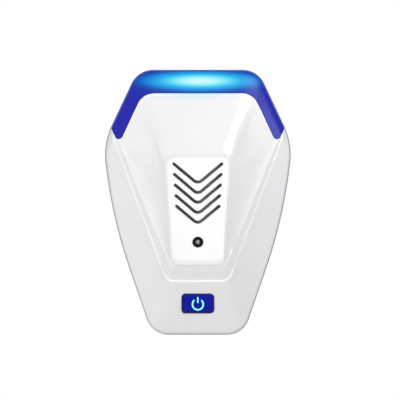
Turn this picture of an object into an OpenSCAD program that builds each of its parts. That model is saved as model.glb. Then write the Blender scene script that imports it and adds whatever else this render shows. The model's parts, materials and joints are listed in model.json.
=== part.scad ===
// Plug-in ultrasonic pest repeller with a night light over its top edge.
// The object is drawn lying on its back: X is right, Y is up the front, Z is the height off the wall.
// upright() then stands it up, so that +Z is up, +Y points into the wall and the origin is the
// point of the wall midway between the two plug pins.

/* [Body] */
// Depth of the rear cover, from the wall to the parting line
rear_depth = 12; // [11.6:0.1:12.4]
// Height of the flat raised centre above the wall
face_h = 34; // [33.8:0.1:35]
// Height at which the side wall turns into the front
edge_h = 20; // [19.8:0.1:20.4]
// Wall thickness of the covers
wall = 2; // [1.8:0.1:2.2]
// Seam between neighbouring mouldings
seam = 0.15; // [0.1:0.05:0.2]

/* [Face] */
// Width of one sound slot
slot_w = 1.2; // [1:0.1:1.6]
// Number of V-shaped sound slots
slot_count = 5; // [3:1:5]
// Height of the light sensor up the front
sensor_y = -20.8; // [-22:0.1:-20]
// Height of the button up the front
button_y = -45.3; // [-45.6:0.1:-45]
// Width of the button
button_w = 12.4; // [12:0.1:13]
// Height of the button
button_len = 7.4; // [7:0.1:8]
// How far the button can be pushed in
button_travel = 0.6; // [0.3:0.1:0.7]

/* [Speaker] */
// Height of the speaker's centre up the front
speaker_y = -1; // [-2:0.5:0]
// Radius of the speaker's flange
speaker_r = 12; // [11.5:0.1:12]

/* [Plug] */
// Distance between the pin centres
pin_pitch = 19; // [18.6:0.1:19.2]
// Radius of the bare end of a pin
pin_r = 2; // [1.9:0.05:2.05]
// Length of a pin in front of the wall face
pin_len = 19; // [18:0.5:20]
// Length of the insulating sleeve in front of the wall face
sleeve_len = 10; // [9:0.5:11]

/* [Board] */
// Height of the main board's underside
board_h = 10; // [9.8:0.1:10]
// Thickness of the main board
board_t = 1.6; // [1.5:0.1:1.6]

/* [Hidden] */
$fn = 48;
arc_steps = 4;

board_top = board_h + board_t;
// Inside face of the rear cover's back
floor_h = 2.2;
// How far the front cover's edge stands inside the rear cover's
front_inset = 0.35;
// Thickness of the front
skin = 2.3;
// Radius of the hole that a self-tapping screw cuts its thread in
screw_pilot = 1;

// Bosses for the four screws that hold the covers together
boss_places = [[27, 7], [-27, 7], [13.6, -51.4], [-13.6, -51.4]];
boss_r = 3.2;
boss_low = 9.2;
screw_well_h = 6;

// Main board: posts, and the holes that take the plug's wires
board_posts = [[26.5, -6], [-26.5, -6], [18.5, -30], [-18.5, -30]];
board_end_y = 25;
mains_hole = [21, -22];

// Night light: posts, board and lamps
light_posts = [[26, 30], [-26, 30], [8.5, 42], [-8.5, 42]];
light_board_h = 15.5;
light_board_top = light_board_h + 1.2;
lamp_pitch = 3.6;

// Button: a sloping face on a flanged block that slides in a collar
button_slope = 23.3;
button_face_h = 27.9;
button_gap = 0.2;
flange_reach = 1.3;
flange_h = 19.8;
flange_t = 1;
pocket_w = button_w + 2 * (flange_reach + button_gap);
pocket_len = button_len + 2 * (flange_reach + button_gap);
collar_wall = 1.15;
button_foot_h = 16.2;
plunger_top = 16.1;
plunger_r = 1.7;
switch_leg_place = [3.3, 2.25];
switch_top = board_top + 3.2;

// Light sensor, in a hole through the flat face
bezel_neck_r = 1.75;
sensor_low = 27;
sensor_leg_x = 0.64;
sensor_leg_r = 0.25;

// Speaker: cloth, basket and the ring that clamps it into the collar
cloth_inset = 1.9;
cloth_low_y = -15.2;
cloth_h = 31.35;
speaker_low = 25.6;
flange_low = 29.4;
flange_top = 30.4;
collar_low = 20;
collar_r = speaker_r + 2.2;
retainer_angles = [90, 210, 330];
retainer_reach = 16.4;
retainer_h = 18.8;
retainer_r = 10.6;
ear_r = 2.6;
terminal_x = 8.8;
terminal_y = 1.6;

// Plug insert, which clamps the pins behind the rear cover's back
insert_posts = [[16.5, 0], [-16.5, 0]];
insert_low = 3.6;
insert_top = 7.4;
sleeve_r = 1.75;
core_r = 1.4;
pin_head_r = 2.7;
pin_tip = 1.5;

label_y = -30;
label_size = [32, 20];
label_pocket = 0.35;

// Corners of each contour of the front, from the bottom right upwards: half width, height, and how
// far from the corner its rounding starts.
edge_corners = [[18.2, -58, 6.6], [34.2, -11.8, 21], [37.9, 18.5, 8], [24, 48, 6.1]];
outer_corners = [[12.5, -36.6, 3.1], [23.4, -7.7, 12], [34.2, 21.1, 1.5], [22.8, 46.3, 5.2]];
inner_corners = [[10.8, -30.9, 2.8], [22.1, -4.4, 12], [31.7, 19.6, 1.2], [21.5, 37.9, 4.6]];
face_corners = [[11, -29.9, 3.9], [11.9, -11, 3.4], [12.75, -0.5, 7], [13.7, 13.6, 4.8]];
// Edge of the light bar: along the top, down a leg, round its tip and out through the side
band_corners = [[22, 38.5, 4.7], [30.5, 20.3, 0.9], [32.4, 20.3, 0.7], [44, 44.9, 1], [44, 60, 1]];

// Heights of the ridges off the wall, by the place up the front
outer_ridge = [[-36, 31], [20, 24.6], [46, 24.2]];
inner_ridge = [[-30, 33.45], [-22, 31.2], [20, 25.2], [38.5, 26.2]];
// How far the inner ridge's outer side lies below its inner side
inner_ridge_fall = [[-30, 0.22], [-25, 0.02]];
// Foot of the flat face's rounded edge, and how far in the rounding reaches: wider along the bottom
face_foot = [[-29.5, face_h - 0.15], [-27.5, face_h - 0.6]];
face_round = [[-29.5, 2.6], [-28, 1.2]];
// How much higher the rounded front edge starts, by the place up the front
shoulder_lift = [[-30, 0], [18, 0.7], [26, 1.2]];
// How far the side facets sag below a straight line, by the place up the front
facet_sag = [[-28, 0.5], [-20, 0.64], [8, 0.6], [13.6, 0.45]];

function unit(v) = v / norm(v);
function flat(p) = [p[0], p[1]];

// Round one corner: an exact arc that starts and ends at reach from it, evenly spaced on a straight
function rounding(before, corner, after, reach, steps) =
    let (
        to_before = unit(before - corner),
        to_after = unit(after - corner),
        start = corner + reach * to_before,
        end = corner + reach * to_after,
        weight = sqrt(max(0, (1 - to_before * to_after) / 2))
    )
    [for (i = [0:steps])
        let (s = i / steps, wa = (1 - s) * (1 - s), wb = 2 * s * (1 - s) * weight, wc = s * s)
        (wa * start + wb * corner + wc * end) / (wa + wb + wc)];

// Closed outline, mirrored about the centre line, from its right-hand corners
function outline(corners, steps = arc_steps) =
    let (
        last = len(corners) - 1,
        all = concat(corners, [for (i = [last:-1:0]) [-corners[i][0], corners[i][1], corners[i][2]]]),
        n = len(all)
    )
    [for (i = [0:n - 1])
        each rounding(flat(all[(i + n - 1) % n]), flat(all[i]), flat(all[(i + 1) % n]), all[i][2], steps)];

// The outline moved inwards by d, or outwards when d is negative; d may be a table by the place
// up the front
function inset(ring, d) =
    let (n = len(ring))
    [for (i = [0:n - 1])
        let (
            along = unit(ring[(i + 1) % n] - ring[(i + n - 1) % n]),
            by = is_list(d) ? lookup(ring[i][1], d) : d
        )
        ring[i] + by * [-along[1], along[0]]];

function level(ring, h) = [for (p = ring) [p[0], p[1], h]];

// The ring at the heights of a table by the place up the front, less drop, which may be a table too
function ridge(ring, heights, drop = 0) =
    [for (p = ring)
        let (less = is_list(drop) ? lookup(p[1], drop) : drop)
        [p[0], p[1], lookup(p[1], heights) - less]];

// Points between two rings of equal length, nearer b as t goes to 1, sagging on the side facets
function sagging(a, b, t) =
    [for (i = [0:len(a) - 1])
        let (p = a[i] + t * (b[i] - a[i]), sag = lookup(a[i][1], facet_sag))
        [p[0], p[1], a[i][2] + sag * (b[i][2] - a[i][2])]];

edge = outline(edge_corners);
front_edge = inset(edge, front_inset);
outer = outline(outer_corners);
inner = outline(inner_corners);
face = outline(face_corners);

face_ring = ridge(face, face_foot);
inner_ring = ridge(inset(inner, 0.5), inner_ridge);

// Skin of the whole front: side wall, rounded edge, outer facets, two ridges, sunk facets, flat face
skin_rings = [
    level(front_edge, rear_depth),
    level(front_edge, edge_h),
    ridge(inset(front_edge, 0.3), shoulder_lift, -edge_h - 1.3),
    ridge(inset(front_edge, 1), shoulder_lift, -edge_h - 2.2),
    ridge(outer, outer_ridge),
    ridge(inset(outer, 0.8), outer_ridge),
    ridge(inner, inner_ridge, inner_ridge_fall),
    inner_ring,
    sagging(face_ring, inner_ring, 0.45),
    face_ring,
    level(inset(face, 0.5), face_h - 0.13),
    level(inset(face, face_round), face_h)
];

// Hollow behind that skin, raised by lift to trim what is moulded onto the skin
function hollow_rings(lift) = [
    level(inset(front_edge, wall), rear_depth - 3),
    level(inset(front_edge, wall), edge_h - 1 + lift),
    level(inset(front_edge, wall + 1), edge_h + 0.6 + lift),
    ridge(inset(outer, 2.4), outer_ridge, skin - lift),
    ridge(inset(inner, 1.5), inner_ridge, skin - lift),
    level(inset(face, 1.8), face_h - skin + lift)
];

// Solid through a stack of rings that all have the same number of points
module loft(rings) {
    n = len(rings[0]);
    m = len(rings);
    points = [for (r = rings) each r];
    sides = [
        for (k = [0:m - 2], i = [0:n - 1])
            let (j = (i + 1) % n, a = k * n + i, b = k * n + j, c = a + n, d = b + n)
            each (i < n / 2 ? [[a, c, d], [a, d, b]] : [[a, c, b], [b, c, d]])
    ];
    polyhedron(
        points = points,
        faces = concat([[for (i = [0:n - 1]) i]], sides, [[for (i = [n - 1:-1:0]) (m - 1) * n + i]]),
        convexity = 6
    );
}

module upright() {
    rotate([90, 0, 0]) children();
}

module slab(ring, from, to) {
    translate([0, 0, from]) linear_extrude(to - from) polygon(ring);
}

module post(x, y, r, from, to) {
    translate([x, y, from]) cylinder(h = to - from, r = r);
}

module block(x, y, w, d, from, to) {
    translate([x - w / 2, y - d / 2, from]) cube([w, d, to - from]);
}

module tube(x, y, r_out, r_in, from, to) {
    difference() {
        post(x, y, r_out, from, to);
        post(x, y, r_in, from - 1, to + 1);
    }
}

module rounded(w, d, r) {
    square([w - 2 * r, d], center = true);
    square([w, d - 2 * r], center = true);
    for (x = [-1, 1], y = [-1, 1]) translate([x * (w / 2 - r), y * (d / 2 - r)]) circle(r);
}

module tablet(x, y, w, d, r, from, to) {
    translate([x, y, from]) linear_extrude(to - from) rounded(w, d, r);
}

// Round bar between two points
module rod(a, b, r) {
    v = b - a;
    translate(a) rotate([0, acos(v[2] / norm(v)), atan2(v[1], v[0])]) cylinder(h = norm(v), r = r, $fn = 24);
}

// Wire through a list of points with rounded bends; side is any direction it never runs along
module wire(route, r, side = [1, 0, 0], bend = 1.6, round_steps = 3, around = 10) {
    last = len(route) - 1;
    path = concat(
        [route[0]],
        [for (i = [1:last - 1]) each rounding(route[i - 1], route[i], route[i + 1], bend, round_steps)],
        [route[last]]
    );
    n = len(path);
    loft([for (i = [0:n - 1])
        let (
            along = unit(path[min(i + 1, n - 1)] - path[max(i - 1, 0)]),
            across = unit(cross(along, side)),
            up = cross(along, across)
        )
        [for (k = [0:around - 1])
            let (a = k * 360 / around)
            path[i] + r * (cos(a) * across + sin(a) * up)]]);
}

// Turn a piece that points up to point to the wall instead
module facing(side) {
    rotate([side > 0 ? 0 : 180, 0, 0]) children();
}

// Cross-head self-tapping screw whose head's underside is at head_h; side is 1 with its head up
module screw(x, y, head_h, length, side, shank_r = 1.1, head_r = 2.4, head_t = 1.3) {
    tip = 1;
    recess = [2.6, 0.5, 1.2];
    translate([x, y, head_h]) facing(side) {
        difference() {
            cylinder(h = head_t, r = head_r);
            for (a = [0, 90]) translate([0, 0, head_t]) rotate([0, 0, a]) cube(recess, center = true);
        }
        translate([0, 0, tip - length]) cylinder(h = length - tip, r = shank_r);
        translate([0, 0, -length]) cylinder(h = tip, r1 = 0.3, r2 = shank_r);
    }
}

// ---- shared shapes ----

function retainer_place(a) = [retainer_reach * cos(a), speaker_y + retainer_reach * sin(a)];

module light_bar_area(grow = 0) {
    polygon(inset(outline(band_corners), -grow));
}

// Half circle round the end of a stroke that runs in the direction along
function stroke_end(end, along, w) =
    let (facing = atan2(along[1], along[0]))
    [for (a = [-90:36:90]) end + w / 2 * [cos(facing + a), sin(facing + a)]];

// One V-shaped slot: the outline of a stroke along two arms that meet in a round bend
function chevron(bottom, top, half_span, w) =
    let (
        bend_r = 2.4,
        lean = atan2(top - bottom + 0.7, half_span),
        point = [0, bottom - bend_r / cos(lean) + bend_r],
        tips = [[-half_span, top], [half_span, top]],
        bend = rounding(tips[0], point, tips[1], bend_r * tan(lean), arc_steps),
        out_left = unit(tips[0] - bend[0]),
        out_right = unit(tips[1] - bend[arc_steps]),
        below = [for (p = bend) p + w / 2 * unit(p - point - [0, bend_r / cos(lean)])],
        above = [for (i = [arc_steps:-1:0]) 2 * bend[i] - below[i]]
    )
    concat(below, stroke_end(tips[1], out_right, w), above, stroke_end(tips[0], out_left, w));

module sound_slots() {
    bottom_of = [3, -1.1, -5, -9, -12.9];
    top_pitch = 4.2;
    for (i = [0:slot_count - 1]) polygon(chevron(bottom_of[i], 10.2 - i * top_pitch, 9.5 - i * 0.28, slot_w));
}

// Cloth behind the slots, which follows the flat face's outline, or the pocket for it when grown
module cloth_outline(grow, from, to) {
    intersection() {
        slab(inset(face, cloth_inset - grow), from, to);
        translate([-20, cloth_low_y - grow, from - 1]) cube([40, 40, to - from + 2]);
    }
}

// Half space below the button's sloping face, dropped by depth
module below_button_face(depth = 0) {
    span = 40;
    translate([0, button_y, button_face_h]) rotate([button_slope, 0, 0])
        translate([-span / 2, -span / 2, -span - depth]) cube(span);
}

module power_mark() {
    mark_y = button_y - 0.3;
    mid_r = 2.15;
    stroke = 0.6;
    translate([0, mark_y]) {
        difference() {
            circle(mid_r + stroke / 2);
            circle(mid_r - stroke / 2);
            translate([-1.3, 0]) square([2.6, 4]);
        }
        translate([-stroke / 2, 0.5]) square([stroke, 2.45]);
    }
}

// ---- casing ----

module front_cover() color("white") upright() {
    rib_depth = 1;
    collar_foot_h = 15.4;
    pocket_top = flange_h + flange_t + 0.1;
    difference() {
        union() {
            difference() {
                loft(skin_rings);
                loft(hollow_rings(0));
            }
            intersection() {
                loft(hollow_rings(rib_depth));
                union() {
                    post(0, speaker_y, collar_r, collar_low, face_h);
                    for (a = retainer_angles)
                        post(retainer_place(a)[0], retainer_place(a)[1], ear_r, collar_low, face_h);
                    for (p = boss_places) post(p[0], p[1], boss_r, boss_low, face_h);
                    tablet(
                        0, button_y, pocket_w + 2 * collar_wall, pocket_len + 2 * collar_wall, 2.4,
                        collar_foot_h, face_h
                    );
                    post(0, sensor_y, bezel_neck_r + 1.25, 28.4, face_h);
                }
            }
        }
        post(0, speaker_y, speaker_r + 0.2, collar_low - 1, face_h - skin);
        tablet(0, button_y, pocket_w, pocket_len, 1.4, collar_foot_h - 1, pocket_top);
        tablet(
            0, button_y, button_w + 2 * button_gap, button_len + 2 * button_gap, 1.5,
            pocket_top - 1, face_h
        );
        post(0, sensor_y, bezel_neck_r + 0.1, collar_low, face_h + 1);
        cloth_outline(0.1, cloth_h - seam, face_h - skin);
        translate([0, 0, cloth_h]) linear_extrude(face_h) sound_slots();
        translate([0, 0, rear_depth - 4]) linear_extrude(face_h) light_bar_area(seam);
        for (p = boss_places) post(p[0], p[1], screw_pilot, boss_low - 1, 20);
        for (a = retainer_angles)
            post(retainer_place(a)[0], retainer_place(a)[1], 0.8, collar_low - 1, collar_low + 6);
    }
}

module light_bar() color("royalblue") upright() intersection() {
    difference() {
        loft(skin_rings);
        loft(hollow_rings(0));
    }
    translate([0, 0, rear_depth - 1]) linear_extrude(face_h) light_bar_area();
}

module rear_cover() color("lavender") upright() {
    lip_gap = 0.2;
    lip_t = 1;
    lip_low = 9.5;
    lip_top = rear_depth + 1.5;
    lip = inset(edge, front_inset + wall + lip_gap);
    difference() {
        union() {
            difference() {
                loft([
                    level(inset(edge, 1.5), 0),
                    level(inset(edge, 0.5), 0.45),
                    level(edge, 1.6),
                    level(edge, rear_depth - seam)
                ]);
                slab(inset(edge, wall), floor_h, rear_depth + 1);
            }
            difference() {
                slab(inset(edge, wall - 0.3), lip_low, rear_depth - seam);
                slab(inset(lip, lip_t), lip_low - 1, rear_depth + 1);
            }
            difference() {
                slab(lip, lip_low, lip_top);
                slab(inset(lip, lip_t), lip_low - 1, lip_top + 1);
            }
            for (p = boss_places) post(p[0], p[1], boss_r + 0.4, 1, boss_low - seam);
            for (p = board_posts) post(p[0], p[1], 2.7, 1, board_h);
            for (p = light_posts) post(p[0], p[1], 2.3, 1, light_board_h);
            for (p = insert_posts) post(p[0], p[1], 2.7, 1, insert_low);
        }
        for (p = boss_places) {
            post(p[0], p[1], boss_r + 0.2, boss_low - seam, lip_top + 1);
            post(p[0], p[1], 1.6, -1, boss_low + 1);
            post(p[0], p[1], 2.9, -1, screw_well_h);
        }
        for (p = board_posts) post(p[0], p[1], screw_pilot, 4, board_h + 1);
        for (p = light_posts) post(p[0], p[1], screw_pilot, 9, light_board_h + 1);
        for (p = insert_posts) post(p[0], p[1], screw_pilot, 0.8, insert_low + 1);
        for (s = [-1, 1]) post(s * pin_pitch / 2, 0, pin_r + 0.2, -1, insert_low);
        tablet(0, label_y, label_size[0] + 0.6, label_size[1] + 0.6, 1.4, -1, label_pocket);
    }
}

module rating_label() color("whitesmoke") upright()
    tablet(0, label_y, label_size[0], label_size[1], 1.1, 0.1, label_pocket);

module housing_screws() color("silver") upright()
    for (p = boss_places) screw(p[0], p[1], screw_well_h, 12.5, -1, screw_pilot);

// ---- button and its switch ----

module power_button() color("mediumblue") upright() {
    face_t = 2;
    side_t = 1.3;
    difference() {
        union() {
            intersection() {
                tablet(0, button_y, button_w, button_len, 1.2, flange_h, face_h);
                below_button_face();
            }
            tablet(
                0, button_y, button_w + 2 * flange_reach, button_len + 2 * flange_reach, 1.2,
                flange_h, flange_h + flange_t
            );
        }
        intersection() {
            tablet(0, button_y, button_w - 2 * side_t, button_len - 2 * side_t, 0.6, flange_h - 1, face_h);
            below_button_face(face_t);
        }
        intersection() {
            linear_extrude(face_h) power_mark();
            difference() {
                below_button_face(-1);
                below_button_face(1);
            }
        }
    }
    post(0, button_y, 1.6, button_foot_h, button_face_h - 1.4);
}

module button_symbol() color("paleturquoise") upright() intersection() {
    linear_extrude(face_h) power_mark();
    difference() {
        below_button_face(-0.05);
        below_button_face(1);
    }
}

module switch_body() color("dimgray") upright() difference() {
    block(0, button_y, 6, 6, board_top + 0.05, switch_top);
    post(0, button_y, plunger_r + 0.15, board_top + 1.6, switch_top + 1);
}

module switch_plunger() color("black") upright()
    post(0, button_y, plunger_r, board_top + 1.8 + button_travel, plunger_top);

module switch_cover() color("silver") upright() difference() {
    block(0, button_y, 6.2, 6.2, switch_top, switch_top + 0.3);
    post(0, button_y, plunger_r + 0.15, switch_top - 1, switch_top + 1);
}

module switch_legs() color("silver") upright()
    for (x = [-1, 1], y = [-1, 1])
        block(
            x * switch_leg_place[0], button_y + y * switch_leg_place[1], 0.4, 0.7,
            board_h - 1.4, board_top + 1.6
        );

module button_led() color("lightcyan") upright() {
    led_x = 5.6;
    led_r = 1.45;
    dome_h = board_top + 3.6;
    post(led_x, button_y, led_r + 0.15, board_top + 0.3, board_top + 1.2);
    post(led_x, button_y, led_r, board_top + 1.2, dome_h);
    translate([led_x, button_y, dome_h]) intersection() {
        sphere(led_r);
        translate([-2, -2, -0.2]) cube(4);
    }
}

// ---- light sensor ----

module sensor_bezel() color("black") upright() difference() {
    rim_t = 0.35;
    union() {
        post(0, sensor_y, bezel_neck_r + 0.4, face_h, face_h + rim_t);
        post(0, sensor_y, bezel_neck_r, face_h - 3.2, face_h);
    }
    post(0, sensor_y, 1.2, face_h - 4, face_h + 1);
    post(0, sensor_y, 1.5, face_h - 4, face_h - 0.8);
}

module light_sensor() color("gray") upright() {
    post(0, sensor_y, 1.4, sensor_low, face_h - 1.1);
    post(0, sensor_y, 1.1, face_h - 1.1, face_h - 0.2);
}

module sensor_legs() color("silver") upright()
    for (s = [-1, 1]) post(s * sensor_leg_x, sensor_y, sensor_leg_r, board_h - 1.2, sensor_low);

module sensor_spacer() color("black") upright() difference() {
    post(0, sensor_y, 2, board_top, sensor_low - 0.1);
    for (s = [-1, 1]) post(s * sensor_leg_x, sensor_y, sensor_leg_r + 0.05, board_top - 1, sensor_low);
}

// ---- speaker ----

module speaker_gasket() color("black") upright()
    tube(0, speaker_y, 11, 9.9, flange_top, cloth_h - 0.05);

module speaker_mesh() color("darkslategray") upright() cloth_outline(0, cloth_h, cloth_h + 0.25);

module speaker_basket() color("black") upright() translate([0, speaker_y, 0]) rotate_extrude()
    polygon([
        [5.8, speaker_low], [7.4, speaker_low], [9.8, flange_low], [speaker_r, flange_low],
        [speaker_r, flange_top], [9.4, flange_top], [9.4, flange_top - 0.5], [7, speaker_low + 0.8],
        [5.8, speaker_low + 0.8]
    ]);

module speaker_cone() color("gainsboro") upright() translate([0, speaker_y, 0]) rotate_extrude()
    polygon([[0, 27.3], [4, 27.3], [8.2, 29.9], [9.3, 29.9], [9.3, 30.2], [8, 30.2], [3.9, 27.6], [0, 27.6]]);

module piezo_disc() color("goldenrod") upright() post(0, speaker_y, 5.6, speaker_low + 0.9, 27.2);

module speaker_magnet() color("silver") upright() {
    magnet_top = speaker_low - 0.1;
    post(0, speaker_y, 7, magnet_top - 3.1, magnet_top);
    post(0, speaker_y, 5.4, magnet_top, speaker_low + 0.8);
}

module speaker_terminals() color("gold") upright()
    for (s = [-1, 1]) block(terminal_x, speaker_y + s * terminal_y, 1.4, 1.2, 23, 26.6);

module speaker_retainer() color("dimgray") upright() {
    rim_top = collar_low - 0.05;
    difference() {
        union() {
            tube(0, speaker_y, collar_r, retainer_r, retainer_h, rim_top);
            tube(0, speaker_y, speaker_r, retainer_r, retainer_h, flange_low - 0.1);
            for (a = retainer_angles)
                post(retainer_place(a)[0], retainer_place(a)[1], ear_r, retainer_h, rim_top);
        }
        for (a = retainer_angles)
            post(retainer_place(a)[0], retainer_place(a)[1], 1.05, retainer_h - 1, collar_low + 1);
    }
}

module retainer_screws() color("silver") upright()
    for (a = retainer_angles)
        screw(retainer_place(a)[0], retainer_place(a)[1], retainer_h, 6.4, -1, 0.8, 1.9, 1.1);

// ---- main board and its parts ----

module main_board() color("seagreen") upright() difference() {
    below = board_h - 1;
    above = board_top + 1;
    slab(inset(edge, 4.2), board_h, board_top);
    translate([-45, board_end_y, below]) cube([90, 50, 9]);
    for (p = boss_places) post(p[0], p[1], boss_r + 1, below, above);
    for (p = board_posts) post(p[0], p[1], 1.4, below, above);
    for (s = [-1, 1]) {
        post(s * mains_hole[0], mains_hole[1], 1.1, below, above);
        post(s * sensor_leg_x, sensor_y, 0.4, below, above);
        for (y = [-1, 1])
            block(s * switch_leg_place[0], button_y + y * switch_leg_place[1], 0.7, 1, below, above);
    }
}

module board_screws() color("silver") upright()
    for (p = board_posts) screw(p[0], p[1], board_top, 6.6, 1, screw_pilot, 2.2, 1.2);

module safety_capacitor() color("gold") upright()
    tablet(-21.1, -14, 6.4, 12.6, 0.5, board_top + 0.1, board_top + 9.9);

module bulk_capacitor() color("midnightblue") upright() {
    at = [20.5, 17.5];
    post(at[0], at[1], 4.6, board_top + 0.1, board_top + 8.4);
    post(at[0], at[1], 4.85, board_top + 0.8, board_top + 7.6);
}

module output_capacitors() color("black") upright()
    for (p = [[19.5, -14.5], [13.5, -24]]) post(p[0], p[1], 3.1, board_top + 0.1, board_top + 8);

module rectifier() color("black") upright() block(-9.5, 21, 8.4, 6.4, board_top + 0.4, board_top + 3.3);

// Windings stand on two pillars of the core, each between two walls of the bobbin
coil_x = 3.2;
coil_w = 2.6;
core_top = board_top + 9;
window_low = board_top + 2.6;
window_top = core_top - 1.6;

module transformer_core() color("darkslategray") upright() translate([0, speaker_y, 0]) difference() {
    block(0, 0, 11, 5, board_top + 1, core_top);
    for (s = [-1, 1]) block(s * coil_x, 0, coil_w + 0.4, 6, window_low, window_top);
}

module transformer_bobbin() color("black") upright() translate([0, speaker_y, 0]) {
    block(0, 0, 9.4, 10, board_top + 0.1, board_top + 0.9);
    for (x = [-1, 1], y = [-1, 1])
        block(x * coil_x, y * 3.2, coil_w + 0.1, 1, board_top + 0.9, window_top - 0.1);
}

module transformer_winding() color("orange") upright() translate([0, speaker_y, 0])
    for (s = [-1, 1]) block(s * coil_x, 0, coil_w, 5.2, window_low + 0.2, window_top - 0.2);

choke_at = [-20, 17];
choke_core_r = 2;
choke_low = board_top + 1.1;
choke_top = board_top + 6.9;

module choke_core() color("dimgray") upright() {
    post(choke_at[0], choke_at[1], 4.2, choke_low - 1, choke_low);
    post(choke_at[0], choke_at[1], choke_core_r, choke_low, choke_top);
    post(choke_at[0], choke_at[1], 4.2, choke_top, choke_top + 1);
}

module choke_winding() color("peru") upright()
    tube(choke_at[0], choke_at[1], 3.7, choke_core_r + 0.05, choke_low + 0.05, choke_top - 0.05);

// The fuse resistor lies between these points, one lead bent down at each end
fuse_ends = [[-20, 4, board_top + 2], [-11, 4, board_top + 2]];

module fuse_resistor() color("cornflowerblue") upright() rod(fuse_ends[0], fuse_ends[1], 1.5);

module fuse_leads() color("silver") upright()
    for (i = [0, 1]) {
        out = (1 - 2 * i) * unit(fuse_ends[0] - fuse_ends[1]);
        bend = fuse_ends[i] + 1.4 * out;
        wire([fuse_ends[i] + 0.1 * out, bend, [bend[0], bend[1], board_top + 0.05]], 0.35, [0, 1, 0], 1);
    }

module varistor() color("royalblue") upright()
    translate([0, 21, board_top + 4.9]) rotate([90, 0, 0]) cylinder(h = 3.4, r = 4.6, center = true);

chip_y = -32;

module controller_chip() color("black") upright()
    block(0, chip_y, 19, 6.4, board_top + 0.5, board_top + 3.9);

module chip_legs() color("silver") upright() {
    pitch = 2.54;
    for (i = [-3:3], s = [-1, 1])
        block(i * pitch, chip_y + s * 3.45, 0.5, 0.5, board_top + 0.02, board_top + 2.2);
}

module transistors() color("black") upright()
    for (s = [-1, 1])
        translate([s * 12, -41.5, board_top + 1.5]) intersection() {
            cylinder(h = 4.8, r = 2.3);
            translate([-3, -1.2, 0]) cube([6, 4, 5]);
        }

module resistors() color("burlywood") upright() {
    half_len = 3;
    for (p = [[9, 16], [9, 19.4], [9, 22.8], [-16, -38], [16, -38]])
        rod([p[0] - half_len, p[1], board_top + 1.3], [p[0] + half_len, p[1], board_top + 1.3], 1.1);
}

module disc_capacitors() color("chocolate") upright()
    for (p = [[-12, -26], [-14.5, 12], [13, 9]])
        translate([p[0], p[1], board_top + 3]) rotate([90, 0, 0]) cylinder(h = 2, r = 2.6, center = true);

socket_x = 20;

module speaker_socket() color("ivory") upright() difference() {
    block(socket_x, 0, 6, 8, board_top + 0.05, board_top + 5.4);
    block(socket_x, 0, 4.2, 6.2, board_top + 1.4, board_top + 6);
}

// ---- night light ----

module light_board() color("white") upright() difference() {
    below = light_board_h - 1;
    above = light_board_top + 1;
    slab(inset(edge, 3.4), light_board_h, light_board_top);
    translate([-45, board_end_y - 90, below]) cube([90, 90, 9]);
    slab(inset(edge, 9.4), below, above);
    for (p = light_posts) post(p[0], p[1], 1.3, below, above);
}

module light_leds() color("lightyellow") upright()
    for (i = [-1:1]) block(i * lamp_pitch, 42, 2.8, 3.5, light_board_top, light_board_top + 1.6);

module light_board_screws() color("silver") upright()
    for (p = light_posts) screw(p[0], p[1], light_board_top, 5.6, 1, screw_pilot, 2.1, 1.1);

// ---- plug ----

module plug_insert() color("ivory") upright() difference() {
    tablet(0, 0, 39, 11, 3, insert_low, insert_top);
    for (s = [-1, 1]) post(s * pin_pitch / 2, 0, sleeve_r + 0.05, insert_low - 1, insert_top + 1);
    for (p = insert_posts) post(p[0], p[1], 1.3, insert_low - 1, insert_top + 1);
}

module plug_pins() color("silver") upright()
    for (s = [-1, 1]) translate([s * pin_pitch / 2, 0, 0]) {
        head_low = insert_top + 0.1;
        translate([0, 0, -sleeve_len]) cylinder(h = sleeve_len + head_low, r = core_r);
        translate([0, 0, head_low]) cylinder(h = 1.2, r = pin_head_r);
        translate([0, 0, pin_tip - pin_len]) cylinder(h = pin_len - sleeve_len - pin_tip, r = pin_r);
        translate([0, 0, -pin_len]) cylinder(h = pin_tip, r1 = 1.1, r2 = pin_r);
    }

module pin_sleeves() color("black") upright()
    for (s = [-1, 1]) tube(s * pin_pitch / 2, 0, sleeve_r, core_r + 0.05, 0.05 - sleeve_len, insert_top);

module insert_screws() color("silver") upright()
    for (p = insert_posts) screw(p[0], p[1], insert_top, 6, 1, screw_pilot, 2.2, 1.2);

// ---- wires ----

// Route of a mains wire, from the head of a pin to its hole in the main board
function mains_route(s) = [
    [s * (pin_pitch / 2 + 3.4), 0, 8.3],
    [s * 17, -6.5, 8.3],
    [s * mains_hole[0], -12, 7],
    [s * mains_hole[0], mains_hole[1], 7],
    [s * mains_hole[0], mains_hole[1], board_top + 0.8]
];

module live_wire() color("brown") upright() wire(mains_route(1), 0.75);

module neutral_wire() color("steelblue") upright() wire(mains_route(-1), 0.75);

module speaker_wires() color("red") upright()
    for (s = [-1, 1])
        wire([
            [terminal_x + 0.1, speaker_y + s * terminal_y, 22.9],
            [9, speaker_y + s * 1.8, 19],
            [12, s * 1.5, 17],
            [socket_x - 1, s * 1.5, 18.2],
            [socket_x, s * 1.5, board_top + 1.6]
        ], 0.5);

module light_wires() color("white") upright()
    for (s = [-1, 1])
        wire([
            [s * 2.2, 23.6, board_top + 0.05],
            [s * 2.2, 23.6, 14.4],
            [s * 1.8, 36.6, 14.4],
            [s * 1.8, 37.2, light_board_top + 1.6],
            [s * 1.8, 39.5, light_board_top + 1.6],
            [s * 1.8, 39.5, light_board_top + 0.05]
        ], 0.45, bend = 0.7);

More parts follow.
